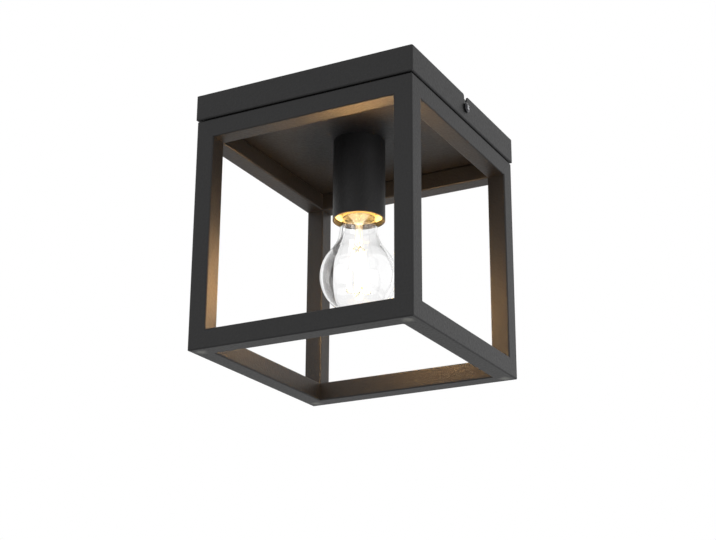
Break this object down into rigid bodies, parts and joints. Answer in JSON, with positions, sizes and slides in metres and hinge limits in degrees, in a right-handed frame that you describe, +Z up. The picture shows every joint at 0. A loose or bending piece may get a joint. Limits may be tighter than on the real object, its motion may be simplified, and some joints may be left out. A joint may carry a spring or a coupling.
{
  "type": "porch ceiling lantern",
  "caption": "Square open-cage porch ceiling lantern: welded tube cube under a folded canopy, with a sleeved lampholder and clear pear-shaped screw-in bulb.",
  "frame": {"origin": "centre of the canopy on the ceiling plane, at the middle of the mounting strip's two slots", "axes": "+Z up into the ceiling, the lantern hangs along -Z; +X towards the side with the clamp screw that the picture shows, -Y to the front"},
  "size_m": [0.1914, 0.186, 0.205],
  "materials": {
    "black_powder_coat": "fine satin textured black powder coat on steel",
    "zinc_plated_steel": "bright zinc plating",
    "nickel_plated_brass": "bright nickel plating",
    "brass": "plain turned and stamped brass",
    "tinned_copper": "dull tin plating",
    "holder_ceramic": "cream-white moulded, semi-gloss",
    "white_nylon": "natural white nylon",
    "brown_silicone": "smooth brown insulation",
    "blue_silicone": "smooth blue insulation",
    "green_yellow_silicone": "smooth insulation, green with a yellow stripe",
    "clear_glass": "clear blown glass",
    "black_glass": "black vitrite glass",
    "nickel_wire": "drawn nickel wire",
    "tip_solder": "soldered tip on brass",
    "circuit_board": "green solder mask with soldered parts",
    "filament_phosphor": "silicone-phosphor coating, lit"
  },
  "bodies": {
    "bracket": {"mounting_strip": "zinc_plated_steel"},
    "clamp_screw_right": {"clamp_screw_right": "zinc_plated_steel"},
    "clamp_screw_left": {"clamp_screw_left": "zinc_plated_steel"},
    "lantern": {"canopy": "black_powder_coat", "post_front_right": "black_powder_coat", "post_back_right": "black_powder_coat", "post_back_left": "black_powder_coat", "post_front_left": "black_powder_coat", "top_rail_front": "black_powder_coat", "top_rail_right": "black_powder_coat", "top_rail_back": "black_powder_coat", "top_rail_left": "black_powder_coat", "bottom_rail_front": "black_powder_coat", "bottom_rail_right": "black_powder_coat", "bottom_rail_back": "black_powder_coat", "bottom_rail_left": "black_powder_coat", "rivet_nuts": "zinc_plated_steel", "frame_screws": "zinc_plated_steel", "lampholder_sleeve": "black_powder_coat", "lampholder_skirt": "holder_ceramic", "lampholder_cover": "holder_ceramic", "screw_shell": "nickel_plated_brass", "centre_contact": "brass", "holder_terminals": "brass", "holder_terminal_screws": "zinc_plated_steel", "threaded_nipple": "zinc_plated_steel", "nipple_washer": "zinc_plated_steel", "nipple_nut": "zinc_plated_steel", "terminal_block": "white_nylon", "block_sleeves": "brass", "block_screws": "zinc_plated_steel", "block_studs": "zinc_plated_steel", "block_nuts": "zinc_plated_steel", "earth_stud": "zinc_plated_steel", "earth_nut": "zinc_plated_steel", "earth_ring": "tinned_copper", "wire_live": "brown_silicone", "wire_neutral": "blue_silicone", "wire_earth": "green_yellow_silicone"},
    "bulb_carrier": {"bulb_tip_contact": "tip_solder"},
    "bulb": {"bulb_cap": "nickel_plated_brass", "bulb_insulator": "black_glass", "bulb_glass": "clear_glass", "bulb_stem": "clear_glass", "filament_wires": "nickel_wire", "filaments": "filament_phosphor", "bulb_driver": "circuit_board"}
  },
  "joints": [
    {"name": "lantern_drop", "type": "slide", "parent": "bracket", "child": "lantern", "axis": [0, 0, -1], "range_m": [0, 0.04]},
    {"name": "clamp_screw_right_turn", "type": "hinge", "parent": "bracket", "child": "clamp_screw_right", "pos_m": [0.093, 0, -0.0105], "axis": [1, 0, 0], "range_deg": [0, 720]},
    {"name": "clamp_screw_left_turn", "type": "hinge", "parent": "bracket", "child": "clamp_screw_left", "pos_m": [-0.093, 0, -0.0105], "axis": [-1, 0, 0], "range_deg": [0, 720]},
    {"name": "bulb_travel", "type": "slide", "parent": "lantern", "child": "bulb_carrier", "axis": [0, 0, -1], "range_m": [0, 0.01629]},
    {"name": "bulb_turn", "type": "hinge", "parent": "bulb_carrier", "child": "bulb", "pos_m": [0, 0, -0.07], "axis": [0, 0, -1], "range_deg": [0, 1620]}
  ],
  "couplings": [
    {"joint": "bulb_travel", "follows": "bulb_turn", "m_per_rad": 0.00057614}
  ]
}
